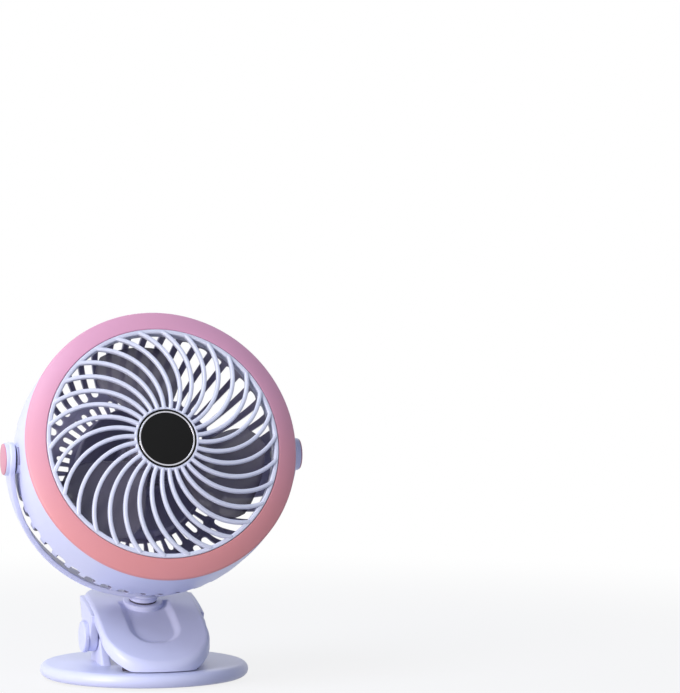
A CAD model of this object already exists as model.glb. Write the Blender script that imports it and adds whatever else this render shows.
from math import acos, asin, atan2, copysign, cos, hypot, pi, radians, sin, sqrt, tan

import bmesh
import bpy
import numpy as np
from mathutils import Matrix, Vector


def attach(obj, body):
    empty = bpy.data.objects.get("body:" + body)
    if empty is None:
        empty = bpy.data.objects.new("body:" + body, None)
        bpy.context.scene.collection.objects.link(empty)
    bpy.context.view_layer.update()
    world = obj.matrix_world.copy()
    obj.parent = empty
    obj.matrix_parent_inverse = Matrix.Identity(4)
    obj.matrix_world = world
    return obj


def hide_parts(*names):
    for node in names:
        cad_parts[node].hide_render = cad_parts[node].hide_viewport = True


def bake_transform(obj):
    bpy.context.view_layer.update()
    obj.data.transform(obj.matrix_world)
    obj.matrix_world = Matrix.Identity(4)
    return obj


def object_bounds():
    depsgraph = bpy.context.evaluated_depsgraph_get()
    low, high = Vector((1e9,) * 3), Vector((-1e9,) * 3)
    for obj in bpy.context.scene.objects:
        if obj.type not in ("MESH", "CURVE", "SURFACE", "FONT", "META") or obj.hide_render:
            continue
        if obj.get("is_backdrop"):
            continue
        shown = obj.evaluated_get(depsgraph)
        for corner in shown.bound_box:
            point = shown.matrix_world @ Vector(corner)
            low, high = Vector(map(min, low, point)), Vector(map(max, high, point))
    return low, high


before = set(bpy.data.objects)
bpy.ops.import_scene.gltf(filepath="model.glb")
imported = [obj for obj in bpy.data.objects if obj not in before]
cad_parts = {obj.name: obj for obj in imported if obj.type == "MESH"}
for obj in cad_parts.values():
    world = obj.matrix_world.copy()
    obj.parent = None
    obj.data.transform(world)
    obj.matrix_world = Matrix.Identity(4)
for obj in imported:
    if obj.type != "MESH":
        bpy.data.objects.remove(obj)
cadLow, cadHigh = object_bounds()
print("frame loaded:", len(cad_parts), "nodes")

# Lengths are written in millimetres and turned to metres when a mesh is made
mm = 0.001
sharpAngle = radians(38)

# Where the head and the yoke stand, as in the CAD part
placing = {"lean": 15.7, "headTilt": 19.6, "neckY": 3.8, "neckZ": 42.1, "neckStack": 84.4, "hingeY": 4.0,
           "hingeZ": 22.8}
leanAngle = radians(placing["lean"])
tiltAngle = radians(90 - placing["headTilt"])
neckY, neckStack, hingeY, hingeZ = (placing[key] for key in ("neckY", "neckStack", "hingeY", "hingeZ"))
pivot = Vector((0, neckY - neckStack * sin(leanAngle), placing["neckZ"] + neckStack * cos(leanAngle)))
toHead = Matrix.Translation(pivot) @ Matrix.Rotation(tiltAngle, 4, "X")
toYoke = Matrix.Translation(pivot) @ Matrix.Rotation(leanAngle, 4, "X")
hinge = Vector((0, hingeY, hingeZ))
alongX = Matrix.Rotation(radians(90), 4, "Y")
mirrorX = Matrix.Diagonal((-1, 1, 1, 1))
turnOver = Matrix.Rotation(pi, 4, "X")
atHinge = Matrix.Translation(hinge) @ alongX


# Nodes of any tree: a Value or a socket is linked, anything else is set on the socket itself

class Value:
    # A number in a tree: the usual operators make Math nodes
    def __init__(self, tree, socket):
        self.tree, self.socket = tree, socket

    def maths(self, operation, *others):
        node = self.tree.nodes.new("ShaderNodeMath")
        node.operation = operation
        for index, item in enumerate((self, *others)):
            feed(self.tree, node.inputs[index], item)
        return Value(self.tree, node.outputs[0])

    def __add__(self, other):
        return self.maths("ADD", other)

    def __mul__(self, other):
        return self.maths("MULTIPLY", other)

    def __pow__(self, other):
        return self.maths("POWER", other)

    def sine(self):
        return self.maths("SINE")

    def smooth(self, low, high):
        node = addNode(self.tree, "ShaderNodeMapRange", Value=self, From_Min=low, From_Max=high)
        node.interpolation_type = "SMOOTHSTEP"
        return Value(self.tree, node.outputs["Result"])


def feed(tree, socket, value):
    if isinstance(value, Value):
        value = value.socket
    if isinstance(value, bpy.types.NodeSocket):
        tree.links.new(value, socket)
    else:
        socket.default_value = value


def addNode(tree, kind, **inputs):
    made = tree.nodes.new(kind)
    for key, value in inputs.items():
        feed(tree, made.inputs[key.replace("_", " ")], value)
    return made


class Paint:
    # One material: its tree, its shader and the nodes that feed it
    def __init__(self, name, **constants):
        self.material = bpy.data.materials.new(name)
        self.material.use_nodes = True
        self.tree = self.material.node_tree
        self.tree.nodes.clear()
        self.shader = addNode(self.tree, "ShaderNodeBsdfPrincipled", **constants)
        self.output = addNode(self.tree, "ShaderNodeOutputMaterial", Surface=self.shader.outputs[0])
        self.place = addNode(self.tree, "ShaderNodeTexCoord").outputs["Object"]

    def set(self, socketName, value):
        feed(self.tree, self.shader.inputs[socketName], value)

    def axis(self, letter):
        apart = addNode(self.tree, "ShaderNodeSeparateXYZ", Vector=self.place)
        return Value(self.tree, apart.outputs[letter])

    def noise(self, scale, detail=2.0):
        made = addNode(self.tree, "ShaderNodeTexNoise", Vector=self.place, Scale=scale, Detail=detail,
                       Roughness=0.5)
        return Value(self.tree, made.outputs["Fac"])

    def tones(self, factor, first, second):
        # The base colour runs from the first tone to the second
        made = self.tree.nodes.new("ShaderNodeMix")
        made.data_type = "RGBA"
        for index, value in ((0, factor), (6, linear(first)), (7, linear(second))):
            feed(self.tree, made.inputs[index], value)
        self.set("Base Color", made.outputs[2])

    def rough(self, scale, span, low, detail=2.0):
        self.set("Roughness", self.noise(scale, detail) * span + low)

    def grain(self, scale, depth, strength, detail=2.0):
        made = addNode(self.tree, "ShaderNodeBump", Height=self.noise(scale, detail), Strength=strength,
                       Distance=depth)
        self.set("Normal", made.outputs[0])


def linear(tone):
    # A colour as it is seen, 0 to 255, as the shader needs it
    parts = [c / 255 for c in tone]
    return (*[c / 12.92 if c <= 0.04045 else ((c + 0.055) / 1.055) ** 2.4 for c in parts], 1.0)


# Mesh helpers: a part is (points in millimetres, faces)

def newObject(name, data):
    made = bpy.data.objects.new(name, data)
    bpy.context.scene.collection.objects.link(made)
    return made


def newMesh(name, part):
    mesh = bpy.data.meshes.new(name)
    mesh.from_pydata([(x * mm, y * mm, z * mm) for x, y, z in part[0]], [], part[1])
    return mesh


def evaluatedMesh(holder):
    return bpy.data.meshes.new_from_object(holder.evaluated_get(bpy.context.evaluated_depsgraph_get()))


def joined(*parts):
    points, faces = [], []
    for partPoints, partFaces in parts:
        start = len(points)
        points.extend([tuple(p) for p in partPoints])
        faces.extend([[start + i for i in f] for f in partFaces])
    return points, faces


def moved(part, matrix):
    points, faces = part
    flip = matrix.to_3x3().determinant() < 0
    return [tuple(matrix @ Vector(p)) for p in points], [f[::-1] for f in faces] if flip else faces


def roundCorners(points, radii, steps=5, closed=True):
    # Each corner becomes an arc of its own radius; 0 keeps it sharp
    made = []
    count = len(points)
    for i, corner in enumerate(points):
        radius = radii[i] if isinstance(radii, (list, tuple)) else radii
        if radius == 0 or (not closed and i in (0, count - 1)):
            made.append(tuple(corner))
            continue
        p, a, b = (np.array(q, float) for q in (corner, points[i - 1], points[(i + 1) % count]))
        toA, toB = a - p, b - p
        lengthA, lengthB = np.linalg.norm(toA), np.linalg.norm(toB)
        toA, toB = toA / lengthA, toB / lengthB
        half = acos(max(-1, min(1, float(toA @ toB)))) / 2
        if half > radians(89.5):
            made.append(tuple(corner))
            continue
        cut = min(radius / tan(half), 0.49 * lengthA, 0.49 * lengthB)
        r = cut * tan(half)
        centre = p + (toA + toB) / np.linalg.norm(toA + toB) * r / sin(half)
        first, last = p + toA * cut - centre, p + toB * cut - centre
        turn = acos(max(-1, min(1, float(first @ last) / (r * r))))
        for k in range(steps + 1):
            t = k / steps
            made.append(tuple(centre + (sin((1 - t) * turn) * first + sin(t * turn) * last) / sin(turn)))
    return made


def revolve(profile, segments=128):
    # A closed profile of (radius, height), turned round the axis
    points, faces = [], []
    count = len(profile)
    for s in range(segments):
        a = 2 * pi * s / segments
        points.extend((r * cos(a), r * sin(a), z) for r, z in profile)
    for s in range(segments):
        n = (s + 1) % segments
        for i in range(count):
            j = (i + 1) % count
            if profile[i][0] > 1e-6 or profile[j][0] > 1e-6:
                faces.append([s * count + i, n * count + i, n * count + j, s * count + j])
    return points, faces


def lathe(corners, radii, steps=5, segments=128):
    return revolve(roundCorners(corners, radii, steps), segments)


def turnStrips(rows, angles):
    # Rows of (radius, height) carried over a list of angles in degrees, open at both ends
    points = [(r * cos(radians(a)), r * sin(radians(a)), z) for a in angles for r, z in rows]
    count = len(rows)
    return points, [[i * count + k, (i + 1) * count + k, (i + 1) * count + k + 1, i * count + k + 1]
                    for i in range(len(angles) - 1) for k in range(count - 1)]


def sweep(rings):
    # Rings of equal size, already in space, closed at both ends
    size, last = len(rings[0]), len(rings) - 1
    points = [tuple(p) for ring in rings for p in ring]
    faces = []
    for i in range(last):
        for k in range(size):
            m = (k + 1) % size
            faces.append([i * size + k, (i + 1) * size + k, (i + 1) * size + m, i * size + m])
    faces.append(list(range(size)))
    faces.append([last * size + k for k in reversed(range(size))])
    return points, faces


def tube(path, radius, sides=16):
    # A round wire along a path, its rings carried along without twist
    path = [np.array(p, float) for p in path]
    side = np.array([1.0, 0.0, 0.0])
    rings = []
    for i, p in enumerate(path):
        d = path[min(i + 1, len(path) - 1)] - path[max(i - 1, 0)]
        d = d / np.linalg.norm(d)
        if i == 0 and abs(d[0]) > 0.9:
            side = np.array([0.0, 1.0, 0.0])
        side = side - (side @ d) * d
        side = side / np.linalg.norm(side)
        up = np.cross(d, side)
        angles = [2 * pi * k / sides for k in range(sides)]
        rings.append([p + radius * (cos(a) * side + sin(a) * up) for a in angles])
    return sweep(rings)


def arcPoints(x, y, radius, angles):
    return [(x + radius * cos(a), y + radius * sin(a)) for a in angles]


def circle(radius, centre=(0, 0), steps=48):
    return arcPoints(*centre, radius, [2 * pi * i / steps for i in range(steps)])


def plate(outlines, thickness, edge, rings=2):
    # A flat plate with holes and rounded edges, from Z = 0 up
    curve = bpy.data.curves.new("plateCurve", "CURVE")
    curve.dimensions, curve.fill_mode = "2D", "BOTH"
    curve.extrude = thickness / 2 - edge
    curve.bevel_depth, curve.bevel_resolution, curve.offset = edge, rings, -edge
    for outline in outlines:
        spline = curve.splines.new("POLY")
        spline.points.add(len(outline) - 1)
        for point, (x, y) in zip(spline.points, outline):
            point.co = (x, y, 0, 1)
        spline.use_cyclic_u = True
    holder = newObject("plateHolder", curve)
    mesh = evaluatedMesh(holder)
    points = [(v.co.x, v.co.y, v.co.z + thickness / 2) for v in mesh.vertices]
    faces = [list(p.vertices) for p in mesh.polygons]
    bpy.data.objects.remove(holder)
    bpy.data.curves.remove(curve)
    bpy.data.meshes.remove(mesh)
    return points, faces


def tray(half, steps, place, columns):
    # A strip between two mirrored edges, closed over a list of (inset, depth) loops.
    # half is the upper edge, from tip to tip, as (u, v); place(u, v, depth) puts a point in space.
    half = [np.array(p, float) for p in half]
    full = half + [p * (1, -1) for p in half[-2:0:-1]]
    count = len(full)
    normals = []
    for i in range(count):
        t = full[(i + 1) % count] - full[i - 1]
        normals.append(np.array([-t[1], t[0]]) / np.linalg.norm(t))
    points = [place(*(full[i] - normals[i] * inset), depth) for inset, depth in steps for i in range(count)]
    faces = []
    for k in range(len(steps) - 1):
        for i in range(count):
            j = (i + 1) % count
            faces.append([k * count + i, k * count + j, (k + 1) * count + j, (k + 1) * count + i])
    for end, (inset, depth) in ((0, steps[0]), (len(steps) - 1, steps[-1])):
        rows = []
        for i in range(len(half)):
            edge = full[i] - normals[i] * inset
            other = full[-i % count] - normals[-i % count] * inset
            row = [end * count + i]
            for w in (c / columns for c in range(1, columns)):
                points.append(place(*(edge * (1 - w) + other * w), depth))
                row.append(len(points) - 1)
            rows.append(row + [end * count + (-i % count)])
        for i in range(len(rows) - 1):
            for c in range(columns):
                face = [rows[i][c], rows[i + 1][c], rows[i + 1][c + 1], rows[i][c + 1]]
                faces.append(face if end else face[::-1])
    return points, faces


def edgeSteps(inset, depth, radius, quarter, steps=4):
    # A rounded edge as (inset, depth) pairs; quarter 0 is the top's outer edge, 1 the bottom's, 2 its inner
    made = []
    for k in range(steps + 1):
        a = pi / 2 * (k / steps)
        near, far = radius * (1 - sin(a)), radius * (1 - cos(a))
        made.append(((inset + near, depth + far), (inset + far, depth - near),
                     (inset - near, depth - far))[quarter])
    return made


def softStep(share):
    t = min(1, max(0, share))
    return t * t * (3 - 2 * t)


def makePiece(name, part, paint, body, nodes, place=None, second=None):
    # second is another paint and the test, on a face's middle, that says where it goes
    flags = []
    if second:
        middles = [np.mean([part[0][i] for i in face], axis=0) for face in part[1]]
        flags = [int(second[1](*middle)) for middle in middles]
    mesh = newMesh(name, part if place is None else moved(part, place))
    mesh.materials.append(paint)
    if second:
        mesh.materials.append(second[0])
        mesh.polygons.foreach_set("material_index", flags)
    work = bmesh.new()
    work.from_mesh(mesh)
    bmesh.ops.remove_doubles(work, verts=work.verts, dist=2e-6)
    bmesh.ops.dissolve_degenerate(work, dist=1e-7, edges=work.edges)
    bmesh.ops.recalc_face_normals(work, faces=work.faces)
    work.to_mesh(mesh)
    work.free()
    mesh.shade_smooth()
    mesh.set_sharp_from_angle(angle=sharpAngle)
    piece = newObject(name, mesh)
    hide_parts(*nodes)
    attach(piece, body)
    return piece


def repeatRound(name, part, paint, count, step, start=0.0, groups=1, groupStep=0.0, radius=0.0):
    # Geometry Nodes copy the part round Z: count copies, step degrees apart, in groups; a plain part comes back
    tree = bpy.data.node_groups.new(name + "Round", "GeometryNodeTree")
    for side in ("INPUT", "OUTPUT"):
        tree.interface.new_socket("Geometry", in_out=side, socket_type="NodeSocketGeometry")
    values = {"Count": count, "Step": radians(step), "Start": radians(start), "Groups": groups,
              "Group Step": radians(groupStep), "Radius": radius * mm, "Material": paint}
    kinds = {"Count": "Int", "Groups": "Int", "Material": "Material"}
    sockets = {title: tree.interface.new_socket(title, in_out="INPUT",
                                                socket_type="NodeSocket" + kinds.get(title, "Float"))
               for title in values}

    def made(kind, **inputs):
        return addNode(tree, kind, **inputs).outputs[0]

    given = tree.nodes.new("NodeGroupInput").outputs
    number = {title: Value(tree, given[title]) for title in values if title != "Material"}
    index = Value(tree, made("GeometryNodeInputIndex"))
    group = (index + 0.5).maths("DIVIDE", number["Count"]).maths("FLOOR")
    angle = (index.maths("MODULO", number["Count"]) * number["Step"]
             + (number["Start"] + group * number["Group Step"]))
    offset = made("ShaderNodeCombineXYZ", X=number["Radius"] * angle.maths("COSINE"),
                  Y=number["Radius"] * angle.sine())
    cloud = made("GeometryNodePoints", Count=number["Count"] * number["Groups"])
    spots = made("GeometryNodeSetPosition", Geometry=cloud, Position=offset)
    turn = made("FunctionNodeAxisAngleToRotation", Axis=(0, 0, 1), Angle=angle)
    copies = made("GeometryNodeInstanceOnPoints", Points=spots, Instance=given["Geometry"], Rotation=turn)
    real = made("GeometryNodeRealizeInstances", Geometry=copies)
    painted = made("GeometryNodeSetMaterial", Geometry=real, Material=given["Material"])
    addNode(tree, "NodeGroupOutput", Geometry=painted)

    mesh = newMesh(name + "Source", part)
    holder = newObject(name + "Holder", mesh)
    modifier = holder.modifiers.new("round", "NODES")
    modifier.node_group = tree
    for title, value in values.items():
        modifier[sockets[title].identifier] = value
    holder.update_tag()
    done = evaluatedMesh(holder)
    holder.modifiers.remove(modifier)
    result = [tuple(v.co / mm) for v in done.vertices], [list(p.vertices) for p in done.polygons]
    bpy.data.objects.remove(holder)
    bpy.data.meshes.remove(mesh)
    bpy.data.meshes.remove(done)
    return result


# Materials

def moulded(name, first, second, rough=0.36):
    # Moulded plastic: two close tones drift into each other, over a fine spark-eroded grain
    paint = Paint(name, IOR=1.5)
    paint.tones(paint.noise(22.0, 3.0), first, second)
    paint.rough(700.0, 0.14, rough - 0.07)
    paint.grain(2400.0, 0.00002, 0.25)
    return paint.material


def metal(name, first, second, rough=0.3):
    paint = Paint(name, Metallic=1.0)
    paint.tones(paint.noise(300.0, 3.0), first, second)
    paint.rough(900.0, 0.2, rough - 0.1, 3.0)
    return paint.material


def ringPink(name, high, low, bottom, top):
    # The pink of the ring and the caps: mauve above, salmon below
    paint = Paint(name, IOR=1.5)
    paint.tones(paint.noise(30.0) * 0.12 + paint.axis("Z").smooth(bottom, top) * 0.88, low, high)
    paint.rough(700.0, 0.12, 0.36)
    paint.grain(2400.0, 0.00002, 0.25)
    return paint.material


def smokeBlade(name, first, second):
    # Smoke-grey translucent plastic, a little uneven in tone and in how clear it is
    paint = Paint(name, IOR=1.5)
    cloud = paint.noise(45.0)
    paint.tones(cloud, first, second)
    paint.rough(600.0, 0.1, 0.2)
    paint.set("Alpha", cloud * 0.1 + 0.76)
    return paint.material


def badgeBlack(name, first, second):
    paint = Paint(name, IOR=1.5, Specular_IOR_Level=0.15)
    paint.tones(paint.noise(60.0), first, second)
    paint.rough(1500.0, 0.16, 0.34, 3.0)
    paint.grain(3200.0, 0.00001, 0.2)
    return paint.material


def rubber(name, first, second):
    paint = Paint(name, IOR=1.45)
    paint.tones(paint.noise(120.0, 3.0), first, second)
    paint.rough(900.0, 0.2, 0.62, 3.0)
    paint.grain(1800.0, 0.00005, 0.4, 3.0)
    return paint.material


def circuitGreen(name, first, second):
    # Copper lanes show under the green lacquer
    paint = Paint(name, IOR=1.5)
    lanes = (paint.axis("X") * 2600.0).sine() * (paint.axis("Z") * 1900.0).sine()
    paint.tones(lanes.smooth(0.1, 0.3), first, second)
    paint.rough(500.0, 0.15, 0.35)
    return paint.material


def copperWinding(name, first, second):
    paint = Paint(name, Metallic=1.0)
    paint.tones((paint.axis("Y") * 9000.0).sine().smooth(-1.0, 1.0), first, second)
    paint.rough(900.0, 0.1, 0.3)
    return paint.material


bodyPaint = moulded("bodyPlastic", (203, 206, 237), (210, 213, 241))
insidePaint = moulded("shellInside", (148, 138, 164), (140, 140, 170), 0.5)
grillePaint = moulded("grillePlastic", (208, 210, 229), (214, 217, 233))
ringPaint = ringPink("ringPlastic", (212, 154, 184), (216, 140, 140), 0.07, 0.185)
capPaint = ringPink("capPlastic", (206, 140, 160), (200, 132, 150), 0.11, 0.13)
bladePaint = smokeBlade("bladeSmoke", (102, 97, 115), (118, 113, 131))
badgePaint = badgeBlack("badgeBlack", (8, 8, 8), (13, 13, 14))
brightPaint = metal("brightTrim", (196, 196, 206), (216, 216, 224), 0.26)
steelPaint = metal("screwSteel", (168, 168, 172), (196, 196, 200), 0.32)
wirePaint = metal("springWire", (176, 176, 182), (206, 206, 212), 0.24)
motorPaint = metal("motorSteel", (150, 152, 156), (178, 180, 184), 0.38)
bronzePaint = metal("bearingBronze", (150, 112, 62), (176, 136, 80), 0.45)
magnetPaint = metal("magnetGrey", (70, 70, 74), (92, 92, 96), 0.55)
padPaint = rubber("padRubber", (58, 52, 66), (70, 64, 78))
blackPaint = moulded("blackPlastic", (36, 34, 40), (46, 44, 50), 0.5)
boardPaint = circuitGreen("boardGreen", (28, 84, 52), (52, 122, 74))
windingPaint = copperWinding("copperWinding", (150, 84, 48), (206, 128, 84))
cellPaint = moulded("cellWrap", (64, 110, 168), (74, 122, 180), 0.3)
lensPaint = moulded("lensClear", (222, 232, 240), (232, 240, 246), 0.2)
print("materials done")


# Head: front ring, grille and badge

frontRing = {"outer": 75, "inner": 64.2, "back": 22.6, "edge": 24.6, "lip": 28.7, "wall": 1.7, "bulge": 0.3,
             "edgeDrop": 0.9}


def ringPart(v):
    outer, inner, edge, lip, bulge = (v[key] for key in ("outer", "inner", "edge", "lip", "bulge"))
    slope = (lip - edge) / (outer - inner)
    skirt = outer - v["wall"]
    return lathe([
        (outer, v["back"]), (outer, edge), ((outer + inner) / 2 + bulge * slope, (edge + lip) / 2 + bulge),
        (inner, lip), (inner, lip - v["wall"]), (skirt, edge - v["edgeDrop"]), (skirt, v["back"]),
    ], [0.15, 1.5, 40, 0.55, 0.2, 0.4, 0.15], 6, 192)


makePiece("frontRing", ringPart(frontRing), ringPaint, "head", ["front_ring"], toHead)

frontGrille = {"ribCount": 30, "ribWidth": 2.2, "ribDepth": 2.8, "ribCurve": 35.8, "ribStart": 17.7,
               "ribRoot": 1.4, "ribSoftness": 0.75, "ribTurn": 6.4, "rimOuter": 64, "rimInner": 61.6,
               "rimTop": 29, "rimBottom": 22.45, "flange": 71.4, "flangeThick": 1.4, "domeTop": 37.9,
               "domeRadius": 234.6, "hubTop": 37.1, "hubBottom": 33.9, "badgeSeat": 16.4, "badgeDepth": 1}


def grilleRib(v, steps=36):
    # One rib is an arc in plan that lies on the dome
    half, depth, soft, curve = v["ribWidth"] / 2, v["ribDepth"], v["ribSoftness"], v["ribCurve"]
    shape = roundCorners([(-half, 0), (-half, -depth), (half, -depth), (half, 0)], [soft, 0.3, 0.3, soft], 4)
    rimMiddle = (v["rimOuter"] + v["rimInner"]) / 2
    end = radians(60)
    while hypot(v["ribStart"] + curve * sin(end), curve * (1 - cos(end))) < rimMiddle:
        end += 0.004
    root = radians(v["ribRoot"])
    rings = []
    for a in ((end + root) * i / steps - root for i in range(steps + 1)):
        x, y = v["ribStart"] + curve * sin(a), curve * (1 - cos(a))
        z = v["domeTop"] - v["domeRadius"] + sqrt(v["domeRadius"] ** 2 - hypot(x, y) * hypot(x, y))
        rings.append([(x - w * sin(a), y + w * cos(a), z + d) for w, d in shape])
    return sweep(rings)


def grillePart(v):
    ribs = repeatRound("grilleRibs", grilleRib(v), grillePaint, v["ribCount"], 360 / v["ribCount"],
                       v["ribTurn"])
    low, ledge = v["rimBottom"], v["rimBottom"] + v["flangeThick"]
    rim = lathe([(v["rimInner"], low), (v["flange"], low), (v["flange"], ledge), (v["rimOuter"], ledge),
                 (v["rimOuter"], v["rimTop"]), (v["rimInner"], v["rimTop"])],
                [0.2, 0.3, 0.3, 0.4, 0.5, 0.9], 5, 180)
    seat, seatTop = v["badgeSeat"], v["hubTop"] - v["badgeDepth"]
    hub = lathe([(0, v["hubBottom"]), (v["ribStart"], v["hubBottom"]), (v["ribStart"], v["hubTop"]),
                 (seat, v["hubTop"]), (seat, seatTop), (0, seatTop)], [0, 0.5, 0.6, 0.15, 0, 0], 4)
    return joined(ribs, rim, hub)


makePiece("frontGrille", grillePart(frontGrille), grillePaint, "head", ["front_grille"], toHead)

badge = {"radius": 16.3, "top": 37.1, "thick": 1, "grooveIn": 14.43, "grooveOut": 15.32, "grooveDepth": 0.4,
         "ringIn": 14.45, "ringOut": 15.3, "ringTop": 37.16, "ringBottom": 36.74}
v = badge
low, top, groove = v["top"] - v["thick"], v["top"], v["top"] - v["grooveDepth"]
makePiece("badge", lathe([
    (0, low), (v["radius"], low), (v["radius"], top), (v["grooveOut"], top), (v["grooveOut"], groove),
    (v["grooveIn"], groove), (v["grooveIn"], top), (0, top),
], [0, 0.1, 0.25, 0.1, 0, 0, 0.12, 0], 4), badgePaint, "head", ["badge"], toHead)
makePiece("badgeRing", lathe([
    (v["ringIn"], v["ringBottom"]), (v["ringOut"], v["ringBottom"]), (v["ringOut"], v["ringTop"]),
    (v["ringIn"], v["ringTop"]),
], [0.05, 0.05, 0.3, 0.3]), brightPaint, "head", ["badge_ring"], toHead)
print("front done")


# Slotted walls: one slot in a cell, for the nodes to repeat

def slotCell(slotEnds, halfWidth, corners, borderEnds, halfAngle, place, fillet, walls, sides=14, turns=8):
    # The cell's points run round the slot; each has a partner on the cell's border
    low, high = slotEnds
    first, last = low + corners[0], high - corners[1]
    stops = [first + (last - first) * i / sides for i in range(sides + 1)]

    def roundEnd(tip, radius, way, border):
        flank = halfWidth(tip - way * radius) - radius
        made = []
        for j in range(1, turns):
            a = pi * j / turns
            across = 0 if 2 * j == turns else way * cos(a)
            side = 0 if 2 * j == turns else copysign(flank, across)
            made.append((tip - way * radius * (1 - sin(a)), side + radius * across, way * sin(a), across,
                         border, way * halfAngle * (1 - 2 * (j - 1) / (turns - 2))))
        return made

    rim = [(u, halfWidth(u), 0, 1, u, halfAngle) for u in stops]
    rim += roundEnd(high, corners[1], 1, borderEnds[1])
    rim += [(u, -halfWidth(u), 0, -1, u, -halfAngle) for u in reversed(stops)]
    rim += roundEnd(low, corners[0], -1, borderEnds[0])
    shares = ((0.0, 0.0), (0.5, 0.0)), ((0.5, 1.0), (0.0, 1.0))   # how far in from the border, and which face
    front, back = ([[place(u, v, t, (bu, ba, w)) for u, v, nu, nv, bu, ba in rim] for w, t in pair]
                   for pair in shares)
    steps = [(fillet, 0.0), (fillet * 0.3, fillet * 0.12), (0.0, fillet * 0.6), (0.0, walls - fillet * 0.6),
             (fillet * 0.3, walls - fillet * 0.12), (fillet, walls)]
    through = [[place(u + nu * out, v + nv * out, depth / walls, None) for u, v, nu, nv, bu, ba in rim]
               for out, depth in steps]
    loops = front + through + back
    count = len(rim)
    faces = []
    for k in range(len(loops) - 1):
        for i in range(count):
            j = (i + 1) % count
            faces.append([k * count + i, (k + 1) * count + i, (k + 1) * count + j, k * count + j])
    return [p for loop in loops for p in loop], faces, stops


def towardsBorder(u, angle, border):
    # A point of the cell slides to its partner: border is (place along, angle, share kept)
    if border is None:
        return u, angle
    along, turn, w = border
    return along * (1 - w) + u * w, radians(turn) * (1 - w) + angle * w


drum = {"radius": 75, "wall": 2.2, "front": 22.4, "barrelBack": -8, "shoulderRadius": 43.605, "back": -44,
        "backInner": 48, "backThick": 2, "shoulderEdge": 1.6, "slotFront": -8.6, "slotInner": 50.5,
        "slotWidth": 6, "slotCount": 21, "slotStep": 7.4, "slotFillet": 0.5, "endRound": 1.04, "cellFront": -4,
        "cellInner": 49, "bossRadius": 8, "bossReach": 76.3, "bossDepth": 3, "screwBossRadius": 3.2,
        "screwBossAt": 67.7, "screwBossLength": 10}
shoulderCentre = drum["radius"] - drum["shoulderRadius"]
shoulderDepth = drum["barrelBack"] - drum["back"]
shoulderTurn = asin(shoulderDepth / drum["shoulderRadius"])
shoulderEnd = drum["shoulderRadius"] * shoulderTurn


def drumLine(s, inside):
    # The wall's outside or inside as (radius, height): s runs back from the barrel's end, round the shoulder
    wall, backWall = (drum["wall"], drum["backThick"]) if inside else (0, 0)
    if s < 0:
        return np.array((drum["radius"] - wall, drum["barrelBack"] - s))
    radius = drum["shoulderRadius"] - wall
    a = min(1, s / shoulderEnd) * asin((shoulderDepth - backWall) / radius)
    place = np.array((shoulderCentre + radius * cos(a), drum["barrelBack"] - radius * sin(a)))
    if s > shoulderEnd:
        flat = shoulderCentre + drum["shoulderRadius"] * cos(shoulderTurn) - drum["backInner"]
        place[0] += (drum["backInner"] - place[0]) * (s - shoulderEnd) / flat
    return place


def drumPoint(s, t):
    # The shoulder meets the flat back in a soft edge; t goes from the outside to the inside
    reach = drum["shoulderEdge"]
    k = (s - shoulderEnd) / reach / 2 + 0.5
    made = []
    for inside in (False, True):
        if 0 < k < 1:
            before, corner, after = (drumLine(shoulderEnd + step * reach, inside) for step in (-1, 0, 1))
            made.append((1 - k) ** 2 * before + 2 * k * (1 - k) * corner + k * k * after)
        else:
            made.append(drumLine(s, inside))
    return made[0] * (1 - t) + made[1] * t


def drumPlace(s, across, t, border):
    s, angle = towardsBorder(s, across / drumPoint(s, 0)[0], border)
    r, z = drumPoint(s, t)
    return r * cos(angle), r * sin(angle), z


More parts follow.
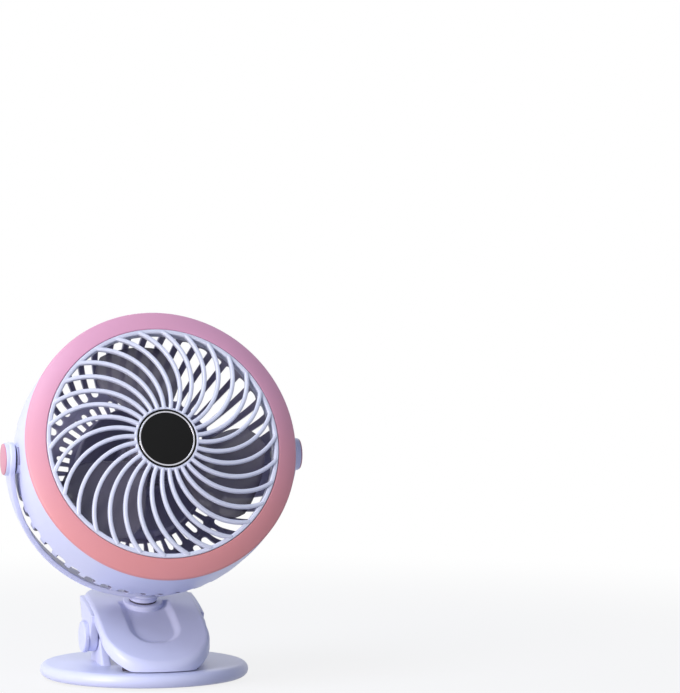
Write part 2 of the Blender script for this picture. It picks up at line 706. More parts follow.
def drumPart(v, sides=36, turns=10, plainCount=14):
    halfAngle = v["slotStep"] / 2
    slotHalf = asin(v["slotWidth"] / 2 / v["radius"])
    flatFrom = drumLine(shoulderEnd, False)[0]
    slotEnds = (v["barrelBack"] - v["slotFront"], shoulderEnd + flatFrom - v["slotInner"])
    cellEnds = (v["barrelBack"] - v["cellFront"], shoulderEnd + flatFrom - v["cellInner"])
    corners = (v["slotWidth"] / 2, v["slotInner"] * slotHalf * v["endRound"])
    *cell, stops = slotCell(slotEnds, lambda s: drumPoint(s, 0)[0] * slotHalf, corners, cellEnds, halfAngle,
                            drumPlace, v["slotFillet"], v["wall"], sides, turns)
    slotted = v["slotStep"] * v["slotCount"]
    parts = [repeatRound("drumSlots", cell, bodyPaint, v["slotCount"], v["slotStep"],
                         90 - slotted / 2 + halfAngle, 2, 180)]
    # Plain wall between the two fields of slots
    plain = [i * (180 - slotted) / plainCount for i in range(plainCount + 1)]
    outer, inner = ([tuple(drumPoint(s, t)) for s in (cellEnds[0], *stops, cellEnds[1])] for t in (0, 1))
    angles = []
    for start in (90, 270):
        share = v["slotStep"] / (turns - 2)
        angles += [start - slotted / 2 + i * share for i in range(v["slotCount"] * (turns - 2))]
        turned = [start + slotted / 2 + a for a in plain]
        angles += turned[:-1]
        parts += [turnStrips(outer, turned), turnStrips(inner, turned)]
    angles.append(angles[0] + 360)
    # The barrel's front, with its lip, and the flat back's inner edge
    front = roundCorners([outer[0], (v["radius"], v["front"]), (v["radius"] - v["wall"], v["front"]), inner[0]],
                         [0, 0.4, 0.25, 0], 4, closed=False)
    back = roundCorners([outer[-1], (v["backInner"], v["back"]), (v["backInner"], v["back"] + v["backThick"]),
                         inner[-1]], [0, 0.3, 0.1, 0], 4, closed=False)
    parts += [turnStrips(front, angles), turnStrips(back, angles)]
    low = v["radius"] - v["bossDepth"]
    boss = lathe([(0, low), (v["bossRadius"], low), (v["bossRadius"], v["bossReach"]), (0, v["bossReach"])],
                 [0, 0, 0.4, 0], 4, 64)
    parts += [moved(boss, alongX), moved(boss, mirrorX @ alongX)]
    low, top, radius = v["front"] - v["screwBossLength"], v["front"], v["screwBossRadius"]
    screwBoss = lathe([(0, low), (radius, low), (radius, top), (0, top)], [0, 0.8, 0.2, 0], 3, 32)
    for a in (45, 135, 225, 315):
        parts.append(moved(screwBoss, Matrix.Rotation(radians(a), 4, "Z")
                           @ Matrix.Translation((v["screwBossAt"], 0, 0))))
    return joined(*parts)


def drumInside(x, y, z):
    # The inside of the wall and the walls of the slots have the deeper tone
    r = hypot(x, y)
    if z > drum["cellFront"]:
        return r < drum["radius"] - drum["wall"] * 0.4 and z < drum["front"] - 0.5
    below = drum["shoulderRadius"] - hypot(r - shoulderCentre, min(0, z - drum["barrelBack"]))
    return min(below, z - drum["back"]) > drum["wall"] * 0.3


makePiece("drumShell", drumPart(drum), bodyPaint, "head", ["drum_shell"], toHead,
          (insidePaint, drumInside))
print("drum done")

rearGrille = {"outer": 47.98, "inner": 36, "back": -44, "thick": 2, "slotEnds": (38.2, 45.8), "slotWidth": 3.2,
              "slotCount": 48, "podWall": 2, "podFront": -24, "podBack": -48, "cupRadius": 16.2, "cupTop": -10,
              "motorRadius": 14, "slotCorner": 0.5, "slotFillet": 0.3, "insideFrom": 0.6}


def rearPart(v):
    step, half = 360 / v["slotCount"], v["slotWidth"] / 2
    inner, front, wall = v["inner"], v["podFront"], v["podWall"]
    floorTop = v["back"] + v["thick"]

    def place(u, across, t, border):
        u, angle = towardsBorder(u, asin(across / u), border)
        return u * cos(angle), u * sin(angle), v["back"] + v["thick"] * t

    *cell, stops = slotCell(v["slotEnds"], lambda u: half, (v["slotCorner"], half - 0.02), (inner, v["outer"]),
                            step / 2, place, v["slotFillet"], v["thick"], 6, 8)
    grid = repeatRound("rearSlots", cell, bodyPaint, v["slotCount"], step)
    angles = [(i - 3) * step / 6 for i in range(v["slotCount"] * 6 + 1)]
    cup, cupIn = v["cupRadius"], v["motorRadius"] + 0.02
    edge = [(v["outer"], v["back"]), (v["outer"], floorTop)]
    podFront = roundCorners([(inner, floorTop), (inner, front), (cup, front), (cup, v["cupTop"]),
                             (cupIn, v["cupTop"]), (cupIn, front), (0.001, front)],
                            [0, 1.2, 0.6, 0.5, 0.3, 0, 0], 4, closed=False)
    podBack = roundCorners([(0.001, front - wall), (inner - wall, front - wall), (inner - wall, v["podBack"]),
                            (inner, v["podBack"]), (inner, v["back"])], [0, 1, 0.1, 0.2, 0], 4, closed=False)
    return joined(grid, *[turnStrips(rows, angles) for rows in (edge, podFront, podBack)])


def rearInside(x, y, z):
    return z > rearGrille["back"] + rearGrille["insideFrom"]


makePiece("rearGrille", rearPart(rearGrille), bodyPaint, "head", ["rear_grille"], toHead,
          (insidePaint, rearInside))
print("rear done")


# Impeller

impeller = {"hubBottom": 4.45, "hubRadius": 16, "hubLength": 19, "hubNose": 0.6, "hubWall": 2,
            "shaftRadius": 1.5, "bladeCount": 3, "bladeMiddle": -22.5, "bladeRoot": 14.5, "bladeTip": 59,
            "bladeArc": 66, "bladeSweep": 4, "bladeBottom": 6.45, "bladeRise": 15, "bladeThick": 1.4,
            "bladeCrown": 3, "edgeSoftness": 1.2}


def bladePart(v, rows=30, columns=36):
    # A swept sheet with rounded edges; u runs from root to tip and w across the blade
    def middle(u, w):
        share = 0.72 + 0.28 * sin(radians(150 * u)) - 0.3 * u ** 7
        angle = radians(w * v["bladeArc"] * share + v["bladeSweep"] * u)
        r = v["bladeRoot"] + (v["bladeTip"] - v["bladeRoot"]) * u
        z = (v["bladeBottom"] + v["bladeRise"] * (0.5 + w * (1 - 0.25 * u))
             + v["bladeCrown"] * sin(radians(180 * u)) * (0.25 - w * w))
        return np.array([r * cos(angle), r * sin(angle), z])

    soft, wide = v["edgeSoftness"], columns + 1
    points, top, bottom = [], {}, {}
    for k, (u, w) in enumerate((i / rows, j / columns - 0.5) for i in range(rows + 1) for j in range(wide)):
        edgeGap = min(min(0.5 - abs(w), 1 - u) * 70, soft)
        thick = v["bladeThick"] / 2 * sqrt(max(0.04, 1 - (1 - min(1, edgeGap / soft)) ** 2))
        p = middle(u, w)
        top[k], bottom[k] = len(points), len(points) + 1
        points += [tuple(p + (0, 0, thick)), tuple(p - (0, 0, thick))]
    faces = []
    for i in range(rows):
        for j in range(columns):
            a, c = i * wide + j, (i + 1) * wide + j
            faces.append([top[a], top[c], top[c + 1], top[a + 1]])
            faces.append([bottom[a], bottom[a + 1], bottom[c + 1], bottom[c]])
    ring = ([j for j in range(columns)] + [i * wide + columns for i in range(rows)]
            + [rows * wide + j for j in range(columns, 0, -1)] + [i * wide for i in range(rows, 0, -1)])
    for k, n in zip(ring, ring[1:] + ring[:1]):
        faces.append([top[k], top[n], bottom[n], bottom[k]])
    return points, faces


def impellerPart(v):
    low, r, shaft = v["hubBottom"], v["hubRadius"], v["shaftRadius"]
    high, inner, bore = low + v["hubLength"], r - v["hubWall"], shaft + 0.02
    hub = lathe([
        (bore, low), (shaft + 3, low), (shaft + 3, high - 7), (inner, high - 7), (inner, low), (r, low),
        (r, high - 5), (r - 1.5, high - 2), (r - 5, high), (0.001, high + v["hubNose"]), (0.001, high - 4),
        (bore, high - 4),
    ], [0, 0.2, 0, 0, 0.2, 0.2, 3, 3, 6, 0, 0, 0], 5, 96)
    blades = repeatRound("impellerBlades", bladePart(v), bladePaint, v["bladeCount"], 360 / v["bladeCount"],
                         v["bladeMiddle"])
    return joined(hub, blades)


makePiece("impeller", impellerPart(impeller), bladePaint, "impeller", ["impeller"], toHead)
print("impeller done")


# Screws: a low pan head with a cross recess

screws = {"coverHead": 2.6, "coverHeight": 0.9, "ringHeight": 0.7, "shank": 1.2, "length": 8, "baseLength": 4,
          "neckHead": 3.2, "neckHeight": 1.8, "neckLength": 9, "ringSpot": (67.7, 23.07),
          "coverSpot": (29.49, -49), "baseSpot": (34, 1.78)}


def screwPart(head, height, length):
    arm, arms, shank = head * 0.55, head * 0.1, screws["shank"]
    corner = [(arm, arms), (arms, arms), (arms, arm)]
    cross = (corner + [(-x, y) for x, y in corner[::-1]] + [(-x, -y) for x, y in corner]
             + [(x, -y) for x, y in corner[::-1]])
    top = plate([circle(head, steps=40), cross], height, height * 0.25)
    wide, high = head * 0.7, height * 0.5
    recess = revolve([(0.001, -0.2), (wide, -0.2), (wide, high), (0.001, high)], 24)
    body = revolve([(0.001, -length), (shank, -length), (shank, 0), (0.001, 0)], 20)
    return joined(top, recess, body)


def screwSet(name, part, body, node, spot, down, count, step, start, groups=1, groupStep=0.0, place=None):
    # spot is the ring of screws as (radius, height)
    radius, height = spot
    stand = Matrix.Translation((0, 0, height)) @ (turnOver if down else Matrix.Identity(4))
    copies = repeatRound(name + "Copies", moved(part, stand), steelPaint, count, step, start, groups, groupStep,
                         radius)
    makePiece(name, copies, steelPaint, body, [node], place)


v = screws
screwSet("ringScrews", screwPart(v["coverHead"], v["ringHeight"], v["length"]), "head", "ring_screws_set",
         v["ringSpot"], False, 4, 90, 45, place=toHead)
screwSet("coverScrews", screwPart(v["coverHead"], v["coverHeight"], v["length"]), "head", "cover_screws",
         v["coverSpot"], True, 2, 80, 50, 2, 180, toHead)
screwSet("baseScrews", screwPart(v["coverHead"], v["coverHeight"], v["baseLength"]), "base", "base_screws",
         v["baseSpot"], True, 3, 120, 90)


# Rear cover and button

rearCover = {"radius": 36, "front": -48.05, "back": -50, "edge": 0.45, "buttonHole": 5.1, "buttonY": -16,
             "socketY": -26, "socketWide": 8.2, "socketHigh": 3.4, "lensX": 9, "lensHole": 1.52,
             "screwAt": 29.49, "screwHole": 1.6, "screwSink": 3, "screwAngles": (50, 130, 230, 310)}


def coverPart(v):
    # The plate stands the right way up with its outer face on top, then turns over
    thick, sink, hole = v["front"] - v["back"], v["screwSink"], v["screwHole"]
    spots = [(v["screwAt"] * cos(radians(a)), -v["screwAt"] * sin(radians(a))) for a in v["screwAngles"]]
    wide, high, y = v["socketWide"] / 2, v["socketHigh"] / 2, -v["socketY"]
    socket = roundCorners([(wide, y - high), (wide, y + high), (-wide, y + high), (-wide, y - high)], 1.2, 5)
    outlines = [circle(v["radius"], steps=160), circle(v["buttonHole"], (0, -v["buttonY"]), 56),
                circle(v["lensHole"], (v["lensX"], -v["buttonY"]), 28), socket]
    parts = [plate(outlines + [circle(sink, spot, 36) for spot in spots], thick, v["edge"], 4)]
    for x, y in spots:
        seat = revolve([(sink + 0.3, 0.2), (sink + 0.3, thick - 1), (hole, thick - 1), (hole, 0.2)], 36)
        parts.append(moved(seat, Matrix.Translation((x, y, 0))))
    return moved(joined(*parts), Matrix.Translation((0, 0, v["front"])) @ turnOver)


makePiece("rearCover", coverPart(rearCover), bodyPaint, "head", ["rear_cover"], toHead)

button = {"radius": 5, "dish": 0.2, "proud": 51, "y": -16, "collar": 6, "plunger": 1.7, "seat": -47.95,
          "collarTop": -47.15, "end": -44.85}
v = button
makePiece("powerButton", lathe([
    (0, -v["proud"] + v["dish"] + 0.15), (v["radius"] * 0.6, -v["proud"] + v["dish"]),
    (v["radius"], -v["proud"]), (v["radius"], v["seat"]), (v["collar"], v["seat"]), (v["collar"], v["collarTop"]),
    (v["plunger"], v["collarTop"]), (v["plunger"], v["end"]), (0, v["end"]),
], [0, 4, 0.6, 0, 0, 0, 0, 0, 0], 5, 72), capPaint, "button", ["power_button"],
    toHead @ Matrix.Translation((0, v["y"], 0)))
print("rear cover done")


# Yoke, tilt caps and neck

yoke = {"outer": 80.5, "inner": 77.5, "width": 14, "lobe": 9.5, "fillet": 5, "edge": 0.8, "spotFace": 7.9,
        "neckRadius": 8, "neckHeight": 3, "flare": 9.4, "stemRadius": 4.5, "stemLength": 9.1}


def yokeOutline(v):
    # The upper edge of the band laid flat, from tip to tip: round the lobe, into the fillet, along the band
    half, lobe, fillet, r = v["width"] / 2, v["lobe"], v["fillet"], v["outer"]
    centre = sqrt((lobe + fillet) ** 2 - (half + fillet) ** 2)
    touch = atan2(half + fillet, centre)
    arc = arcPoints(0, 0, lobe, [(pi - touch) * i / 22 for i in range(23)])
    low = atan2(-(half + fillet), centre)
    arc += arcPoints(-centre, half + fillet, fillet, [low + (-pi / 2 - low) * i / 8 for i in range(1, 9)])
    right = [(r * pi / 2 + r * asin(x / r), y) for x, y in arc]
    span = right[-1][0]
    middle = [(span - 2 * span * i / 90, half) for i in range(1, 90)]
    return (right + middle + [(-x, y) for x, y in reversed(right)])[::-1]


def yokePart(v):
    thick, edge, low = v["outer"] - v["inner"], v["edge"], -v["outer"]

    def place(u, w, depth):
        angle, r = u / v["outer"], v["outer"] - depth
        x, z = r * sin(angle), -r * cos(angle)
        if depth > 1 and hypot(z, w) < v["spotFace"] and abs(x) < v["inner"]:
            x = copysign(v["inner"], x)   # a flat face for the tilt washer
        return x, w, z

    band = tray(yokeOutline(v), edgeSteps(0, 0, edge, 0) + edgeSteps(0, thick, edge * 0.75, 1), place, 12)
    neck = lathe([
        (0, low - v["neckHeight"]), (v["neckRadius"], low - v["neckHeight"]), (v["neckRadius"], low - 1),
        (v["flare"], low + 0.6), (v["flare"] - 1, low + 1.6), (0, low + 1.6),
    ], [0, 0.5, 2.5, 0.6, 0, 0], 6, 72)
    stem = lathe([(0, low - v["stemLength"]), (v["stemRadius"], low - v["stemLength"]), (v["stemRadius"], low),
                  (0, low)], [0, 0.4, 0, 0], 3, 48)
    return joined(band, neck, stem)


makePiece("yoke", yokePart(yoke), bodyPaint, "yoke", ["yoke"], toYoke)

tiltCap = {"collarIn": 7.1, "collarOut": 8.9, "collarTop": 82.3, "seat": 79.6, "disc": 8.5, "discLow": 82.35,
           "spigot": 6.9, "spigotLow": 81.9, "discTop": 82.95, "crown": 83.2}
v = tiltCap
collarPart = lathe([(v["collarIn"], v["seat"]), (v["collarOut"], v["seat"]), (v["collarOut"], v["collarTop"]),
                    (v["collarIn"], v["collarTop"])], [0, 0, 0.5, 0.2], 4, 96)
discPart = lathe([
    (0, v["spigotLow"]), (v["spigot"], v["spigotLow"]), (v["spigot"], v["discLow"]), (v["disc"], v["discLow"]),
    (v["disc"], v["discTop"]), (v["disc"] * 0.5, (v["crown"] + v["discTop"]) / 2 + 0.08), (0, v["crown"]),
], [0, 0, 0, 0.1, 0.45, 6, 0], 5, 96)
for sideName, turn in (("left", toYoke @ mirrorX @ alongX), ("right", toYoke @ alongX)):
    makePiece("capCollar-" + sideName, collarPart, bodyPaint, "yoke", ["cap_collar_" + sideName], turn)
    makePiece("tiltCap-" + sideName, discPart, capPaint, "yoke", ["tilt_cap_" + sideName], turn)

neckParts = {"washerRadius": 7.6, "washerHole": 4.55, "washerThick": 0.8, "lowWasher": 8, "lowAt": -90.6,
             "lowThick": 0.98, "lowHole": 1.6}
v = neckParts
low, top = -neckStack, -neckStack + v["washerThick"]
makePiece("swivelWasher", lathe([
    (v["washerHole"], low), (v["washerRadius"], low), (v["washerRadius"], top), (v["washerHole"], top),
], [0, 0.2, 0.2, 0], 3, 72), padPaint, "arm", ["swivel_washer"], toYoke)
low, top = v["lowAt"], v["lowAt"] + v["lowThick"]
makePiece("neckWasher", lathe([
    (v["lowHole"], low), (v["lowWasher"], low), (v["lowWasher"], top), (v["lowHole"], top),
], [0.1, 0.2, 0.2, 0.1], 3, 64), steelPaint, "yoke", ["neck_washer"], toYoke)
makePiece("neckScrew", screwPart(screws["neckHead"], screws["neckHeight"], screws["neckLength"]), steelPaint,
          "yoke", ["neck_screw"], toYoke @ Matrix.Translation((0, 0, low - 0.02)) @ turnOver)
print("yoke done")


# Clamp arm

clampArm = {"arcRadius": 145, "seatProud": 0.5, "width": 60, "front": 50, "back": 38, "roundLength": 24,
            "roundPower": 2.15, "skin": 2.6, "skirt": 6, "wall": 2.4, "flat": 9, "edge": 2.2,
            "recessWidth": 28, "recessDepth": 2, "recessFront": 36, "recessCorner": 11.8, "recessLip": 1,
            "recessSlope": 4.6, "underGap": 2.2, "underSlope": 1.6,
            "seatRadius": 11, "seatDepth": 5, "boreRadius": 4.55}
arcDrop = clampArm["arcRadius"] + clampArm["seatProud"]
arcY = neckY + arcDrop * sin(leanAngle)
arcZ = placing["neckZ"] - arcDrop * cos(leanAngle)


def arcTop(y, depth=0.0):
    return arcZ + sqrt((clampArm["arcRadius"] - depth) ** 2 - (y - arcY) ** 2)


def armOutline(v, inset=0.0):
    # The edge in plan from the front tip to the back tip, as (y, half width)
    half, count, power = v["width"] / 2 - inset, 30, v["roundPower"]
    front, back = -v["front"] + inset, v["back"] - inset
    shares = [(i / count) ** 1.8 for i in range(count + 1)]   # closer together at the tip
    ends = [(t, half * (1 - (1 - t) ** power) ** (1 / power)) for t in shares]
    first = [(front + v["roundLength"] * t, w) for t, w in ends]
    last = [(back - v["roundLength"] * t, w) for t, w in reversed(ends)]
    straight = [(first[-1][0] + (last[0][0] - first[-1][0]) * i / 60, half) for i in range(1, 60)]
    return first + straight + last


def recessDistance(v, x, y):
    # How far a point lies outside the thumb recess; inside it is below zero
    past = v["recessCorner"] - v["recessFront"] - y
    across = abs(x) - (v["recessWidth"] / 2 - v["recessCorner"])
    outline = hypot(max(across, 0), past) if past > 0 else across
    return max(outline - v["recessCorner"], y - neckY)


def armPart(v):
    def place(y, x, depth):
        sunk, gap = depth, recessDistance(v, x, y)
        if depth < 0.01:
            sunk += v["recessDepth"] * softStep((v["recessLip"] - gap) / v["recessSlope"])
        elif abs(depth - v["skin"]) < 0.01:
            sunk += v["recessDepth"] * softStep(0.5 - (gap - v["underGap"]) / v["underSlope"])
        z = arcTop(y, sunk)
        return x, y, max(z, v["flat"]) if y < 0 else z

    wall, skirt, skin = v["wall"], v["skirt"], v["skin"]
    steps = (edgeSteps(0, 0, v["edge"], 0, 6) + edgeSteps(0, skirt, 0.6, 1) + edgeSteps(wall, skirt, 0.5, 2)
             + [(wall, skin + 0.8), (wall + 0.25, skin + 0.25), (wall + 0.8, skin)])
    low = -neckStack - v["seatDepth"]
    seat = lathe([(v["boreRadius"], low), (v["seatRadius"], low), (v["seatRadius"], -neckStack),
                  (v["boreRadius"], -neckStack)], [0.2, 0.4, 0.7, 0.3], 5, 96)
    return joined(tray(armOutline(v), steps, place, 110), moved(seat, toYoke))


ears = {"inner": 26.8, "outer": 32, "radius": 8.2, "edge": 0.9, "rise": 1.6, "toBack": 9, "toFront": 5}


def earPart(v):
    r = v["radius"]
    bottom = arcPoints(hingeY, hingeZ, r, [radians(195 + 150 * i / 40) for i in range(41)])
    back, front = hingeY + r + v["toBack"], hingeY - r - v["toFront"]
    top = [(y, arcTop(y, v["rise"])) for y in (back + (front - back) * i / 24 for i in range(25))]
    outline = roundCorners(bottom + top, [0] * 41 + [1.0] + [0] * 23 + [1.0], 4)
    points, faces = plate([outline], v["outer"] - v["inner"], v["edge"], 3)
    return [(v["inner"] + w, y, z) for y, z, w in points], faces


rightEar = earPart(ears)
makePiece("clampArm", joined(armPart(clampArm), rightEar, moved(rightEar, mirrorX)), bodyPaint, "arm",
          ["clamp_arm"])

hingeCap = {"radius": 8.8, "seat": 32, "proud": 34.8, "spigot": 3.98, "spigotFrom": 30.8, "bore": 2.3}
v = hingeCap
capPart = lathe([
    (v["bore"], v["spigotFrom"]), (v["spigot"], v["spigotFrom"]), (v["spigot"], v["seat"]),
    (v["radius"], v["seat"]), (v["radius"], v["proud"] - 0.2), (v["radius"] * 0.55, v["proud"] - 0.03),
    (0, v["proud"]), (0, v["proud"] - 1), (v["bore"], v["proud"] - 1),
], [0, 0, 0, 0.15, 0.9, 8, 0, 0, 0], 6, 96)
for sideName, turn in (("left", mirrorX @ atHinge), ("right", atHinge)):
    makePiece("hingeCap-" + sideName, capPart, bodyPaint, "arm", ["hinge_cap_" + sideName], turn)

gripPad = {"inset": 2.7, "back": -38.6, "endSpread": 0.4, "bottom": 8.7, "thick": 6, "edge": 0.8,
           "topDepth": 2.65}


def padPart(v):
    # The pad follows the arm's tip and ends in a straight line across
    edge = [(y, w) for y, w in armOutline(clampArm, v["inset"]) if y < v["back"] - 0.3]
    width = edge[-1][1] + v["endSpread"]
    edge.append((v["back"] - 0.25, width - 0.1))
    edge += [(v["back"], width * (1 - i / 12)) for i in range(1, 12)] + [(v["back"], 0.0)]

    def place(y, x, depth):
        return x, y, min(v["bottom"] + depth, arcTop(y, v["topDepth"]))

    return tray(edge, edgeSteps(0, 0, v["edge"], 0) + [(0, 2), (0, v["thick"])], place, 24)


makePiece("gripPad", padPart(gripPad), padPaint, "arm", ["grip_pad"])
print("arm done")


# Base

base = {"radius": 57.5, "rim": 3.8, "top": 8.4, "bottom": 0.8, "coverHole": 51.8, "ceiling": 6.2,
        "finIn": 22.5, "finRoot": 21.5, "finOut": 26.5, "finRadius": 6.5, "finFront": -14, "finBack": 18,
        "finEdge": 0.8}


def finPart(v):
    r, low = v["finRadius"], v["top"] - 1
    top = arcPoints(hingeY, hingeZ, r, [radians(20 + 140 * i / 40) for i in range(41)])
    points, faces = plate([[(v["finBack"], low), *top, (v["finFront"], low)]], v["finOut"] - v["finIn"],
                          v["finEdge"], 3)
    made = []
    for y, z, w in points:
        # The fin's inner face leans out towards its root
        share = min(1, max(0, (z - v["top"]) / (hingeZ - r - v["top"])))
        inner = v["finRoot"] + (v["finIn"] - v["finRoot"]) * share
        made.append((inner + (v["finOut"] - inner) * w / (v["finOut"] - v["finIn"]), y, z))
    return made, faces


def basePart(v):
    rim = [(v["radius"] - v["rim"] + v["rim"] * sin(a), v["bottom"] + v["rim"] - v["rim"] * cos(a))
           for a in (pi * i / 20 for i in range(21))]
    hole = v["coverHole"]
    outline = [(0, v["ceiling"]), (hole, v["ceiling"]), (hole, v["bottom"] + 0.2), (hole + 0.2, v["bottom"]),
               *rim, (0, v["top"])]
    fin = finPart(v)
    return joined(revolve(outline, 192), fin, moved(fin, mirrorX))


makePiece("baseShell", basePart(base), bodyPaint, "base", ["base_shell"])

underside = {"cover": 51.5, "from": 0.8, "to": 2.6, "footOut": 48, "footIn": 40, "footTop": 1.35,
             "groove": 0.15, "grooveTop": 1.4}
v = underside
inner, outer = v["footIn"] - v["groove"], v["footOut"] + v["groove"]
makePiece("baseBottom", lathe([
    (0, v["from"]), (inner, v["from"]), (inner, v["grooveTop"]), (outer, v["grooveTop"]), (outer, v["from"]),
    (v["cover"], v["from"]), (v["cover"], v["to"]), (0, v["to"]),
], [0, 0.2, 0, 0, 0.2, 0.3, 0.2, 0], 3, 160), bodyPaint, "base", ["base_bottom"])
makePiece("footRing", lathe([
    (v["footIn"], 0), (v["footOut"], 0), (v["footOut"], v["footTop"]), (v["footIn"], v["footTop"]),
], [0.35, 0.35, 0.1, 0.1], 4, 160), padPaint, "base", ["foot_ring"])

pin = {"radius": 2, "half": 33.2}
makePiece("hingePin", lathe([
    (0, -pin["half"]), (pin["radius"], -pin["half"]), (pin["radius"], pin["half"]), (0, pin["half"]),
], [0, 0.3, 0.3, 0], 3, 48), steelPaint, "base", ["hinge_pin"], atHinge)
print("base done")


# Spring: each half of the wire turns from the base to the arm along its coil

spring = {"wire": 0.65, "coil": 5, "turns": 3, "pitch": 1.85, "firstX": 10, "legUp": 14, "legDown": 14,
          "bend": 2, "clear": 0.3}


def springPath(v):
    # From the middle of the bar on the base, up the leg, round the coil and up to the arm
    bend, firstX = v["bend"], v["firstX"]
    barZ = base["top"] + v["clear"] + v["wire"]
    down, up = radians(v["legDown"]), radians(v["legUp"])

    def coilPoint(angle, x):
        return x, hingeY + v["coil"] * cos(angle), hingeZ + v["coil"] * sin(angle)

    start = coilPoint(down, firstX)
    slope = tan(down)
    barY = start[1] + (start[2] - barZ) * slope
    path = [(0, barY, barZ)] + [(firstX - bend - 3 + i, barY, barZ) for i in range(3)]
    for a in (pi / 2 * i / 8 for i in range(9)):
        rise = bend * (1 - cos(a))
        path.append((firstX - bend + bend * sin(a), barY - rise * slope, barZ + rise))
    corner = np.array(path[-1])
    path += [tuple(corner * (1 - t) + np.array(start) * t) for t in (i / 6 for i in range(1, 6))]
    turn = 2 * pi * v["turns"] + up - down
    wide = v["pitch"] * turn / (2 * pi)
    steps = 32 * v["turns"]
    path += [coilPoint(down + turn * i / steps, firstX + wide * i / steps) for i in range(steps + 1)]
    last = np.array(path[-1])
    direction = np.array([0, -sin(up), cos(up)])
    length = 0.0
    tip = last + direction * v["clear"]
    while tip[2] <= arcTop(tip[1], clampArm["skin"]):
        length += 0.02
        tip = last + direction * (length + v["clear"])
    return path + [tuple(last + direction * length * t) for t in (0.15, 0.3, 0.5, 0.7, 0.85, 1.0)]


v = spring
halfSpring = tube(springPath(v), v["wire"], 18)
for sideName, turn, side in (("right", Matrix.Identity(4), 1), ("left", mirrorX, -1)):
    half = makePiece("spring-" + sideName, halfSpring, wirePaint, "base", ["clamp_spring"],
                     turn)
    half.parent = None
    ends = (v["firstX"] + v["wire"], v["firstX"] + v["pitch"] * v["turns"] - v["wire"])
    first, last = ((x * side * mm, hinge.y * mm, hinge.z * mm) for x in ends)
    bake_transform(half)
    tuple(first)
    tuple(last)
print("spring done")


# Inner pieces keep their CAD form and get a material

innerPaints = {"motor_can": motorPaint, "motor_end_cap": blackPaint, "motor_magnets": magnetPaint,
               "motor_bearings": bronzePaint, "motor_shaft": steelPaint, "rotor": windingPaint,
               "battery_cell": cellPaint, "control_board": boardPaint, "push_switch": blackPaint,
               "light_pipe": lensPaint, "usb_socket": motorPaint, "tilt_screws": steelPaint,
               "tilt_washers": padPaint}
for nodeName, paint in innerPaints.items():
    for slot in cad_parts[nodeName].material_slots:
        slot.material = paint


# Floor, background, lamps and camera

# Lengths here are in metres; world is how bright the surrounding light is
setting = {"floorSize": 6.0, "floorDrop": 0.0003, "nearFloor": 0.16, "farFloor": 0.7, "nearGlow": 0.84,
           "world": 0.33, "worldTone": (218, 228, 252)}


def whiteWhenSeen(tree):
    # 1 where the camera, a mirror or clear plastic looks at it
    path = tree.nodes.new("ShaderNodeLightPath").outputs
    kinds = ("Is Camera Ray", "Is Glossy Ray", "Is Transmission Ray")
    seen, shiny, through = (Value(tree, path[kind]) for kind in kinds)
    return seen.maths("MAXIMUM", shiny).maths("MAXIMUM", through)


def mixShaders(tree, share, first, second):
    choose = addNode(tree, "ShaderNodeMixShader", Fac=share)
    tree.links.new(first, choose.inputs[1])
    tree.links.new(second, choose.inputs[2])
    return choose.outputs[0]


world = bpy.data.worlds.new("studio")
bpy.context.scene.world = world
world.use_nodes = True
tree = world.node_tree
tree.nodes.clear()
plain, white = (addNode(tree, "ShaderNodeBackground", Color=tone, Strength=strength).outputs[0]
                for tone, strength in ((linear(setting["worldTone"]), setting["world"]), ((1, 1, 1, 1), 1.0)))
addNode(tree, "ShaderNodeOutputWorld", Surface=mixShaders(tree, whiteWhenSeen(tree), plain, white))


def floorPaper():
    # White paper that keeps the shadow near the object and runs out into plain white
    paint = Paint("floorPaper", Roughness=0.9)
    paint.tones(paint.noise(3.0), (214, 212, 218), (208, 208, 214))
    away = (paint.axis("X") ** 2.0 + paint.axis("Y") ** 2.0).smooth(setting["nearFloor"] ** 2,
                                                                   setting["farFloor"] ** 2)
    share = whiteWhenSeen(paint.tree) * (away * (1 - setting["nearGlow"]) + setting["nearGlow"])
    glow = addNode(paint.tree, "ShaderNodeEmission", Color=(1, 1, 1, 1), Strength=1.0)
    mixed = mixShaders(paint.tree, share, paint.shader.outputs[0], glow.outputs[0])
    feed(paint.tree, paint.output.inputs["Surface"], mixed)
    return paint.material


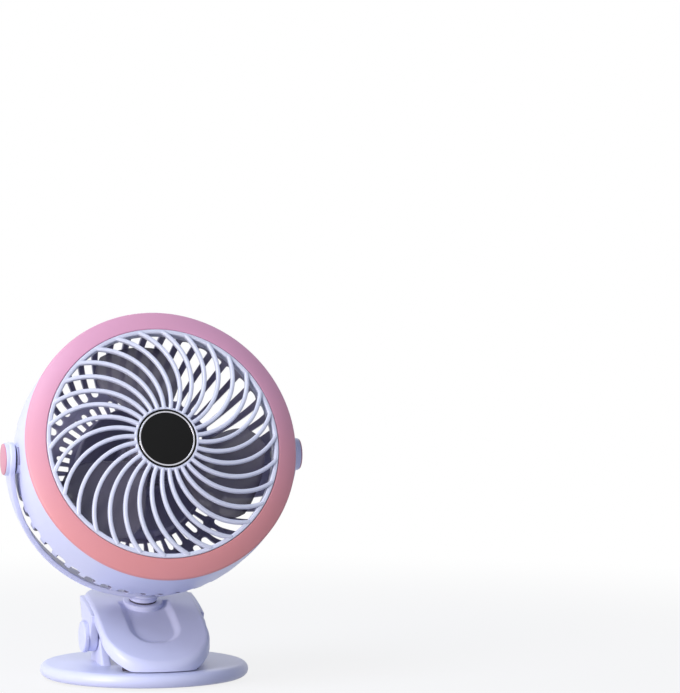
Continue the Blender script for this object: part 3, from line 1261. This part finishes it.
reach = setting["floorSize"] / mm
corners = [(-reach, -reach, 0), (reach, -reach, 0), (reach, reach, 0), (-reach, reach, 0)]
floorMesh = newMesh("floor", (corners, [(0, 1, 2, 3)]))
floorMesh.materials.append(floorPaper())
floor = newObject("floor", floorMesh)
floor.location.z = cadLow[2] - setting["floorDrop"]
floor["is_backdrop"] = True

# Place in metres, width, power and colour; each lamp looks at the same spot
lampAim = Vector((0, 0, 0.1))
lamps = {
    "keyLamp": ((-1.35, -0.85, 0.32), 0.7, 19.5, (1.0, 0.94, 0.89)),
    "topLamp": ((-0.75, -0.35, 1.15), 0.8, 10.5, (0.8, 0.89, 1.0)),
    "backLamp": ((0.2, 1.0, 0.9), 0.8, 1.5, (0.96, 0.97, 1.0)),
}
for name, (place, size, power, colour) in lamps.items():
    light = bpy.data.lights.new(name, "AREA")
    light.shape, light.size, light.energy, light.color = "DISK", size, power, colour
    holder = newObject(name, light)
    holder.location = place
    holder.rotation_euler = (lampAim - Vector(place)).to_track_quat("-Z", "Y").to_euler()
    holder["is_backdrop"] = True

view = {"azimuth": -13.2, "elevation": 5.05, "distance": 2.0, "aim": (0.006, 0, 0.0978), "lens": 187.5,
        "shift": (-185 / 3610, -153.5 / 3610)}
azimuth, elevation = radians(view["azimuth"]), radians(view["elevation"])
back = Vector((sin(azimuth) * cos(elevation), -cos(azimuth) * cos(elevation), sin(elevation)))
right = Vector((cos(azimuth), sin(azimuth), 0))
frameTurn = Matrix((right, back.cross(right), back)).transposed()
aimTurn = Vector((0, 0, -1)).rotation_difference(Vector((*view["shift"], -1)).normalized()).to_matrix()
cameraData = bpy.data.cameras.new("camera")
cameraData.lens, cameraData.sensor_width = view["lens"], 36
camera = newObject("camera", cameraData)
camera.matrix_world = Matrix.Translation(Vector(view["aim"]) + back * view["distance"]) @ (
    frameTurn @ aimTurn.inverted()).to_4x4()
bpy.context.scene.camera = camera
camera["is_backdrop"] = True
bpy.context.scene.view_settings.view_transform = "Standard"

low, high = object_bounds()
{"cad": [list(cadLow), list(cadHigh)], "scene": [list(low), list(high)]}
print("scene done", [round((h - l) / mm, 2) for l, h in zip(low, high)])
